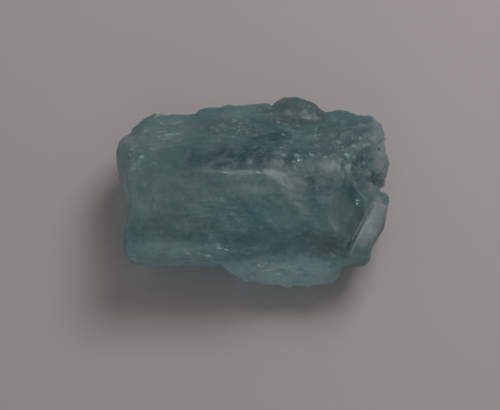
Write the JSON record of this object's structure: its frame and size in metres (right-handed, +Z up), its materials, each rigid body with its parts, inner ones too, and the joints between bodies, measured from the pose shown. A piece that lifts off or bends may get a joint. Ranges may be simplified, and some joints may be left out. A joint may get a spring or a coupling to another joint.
{
  "type": "aquamarine crystal",
  "caption": "Rough, broken length of a translucent blue-green beryl crystal, lying on a flat broken face; a loose mineral specimen.",
  "frame": {"origin": "under the middle of the stone's box, on the flat broken face that it rests on", "axes": "+X along the crystal's c axis, towards its etched end; +Y towards its back, away from the long ledge; +Z up"},
  "size_m": [0.0456, 0.0326, 0.017],
  "materials": {
    "beryl": "satin"
  },
  "bodies": {
    "root": {"aquamarine_crystal": "beryl"}
  },
  "joints": []
}
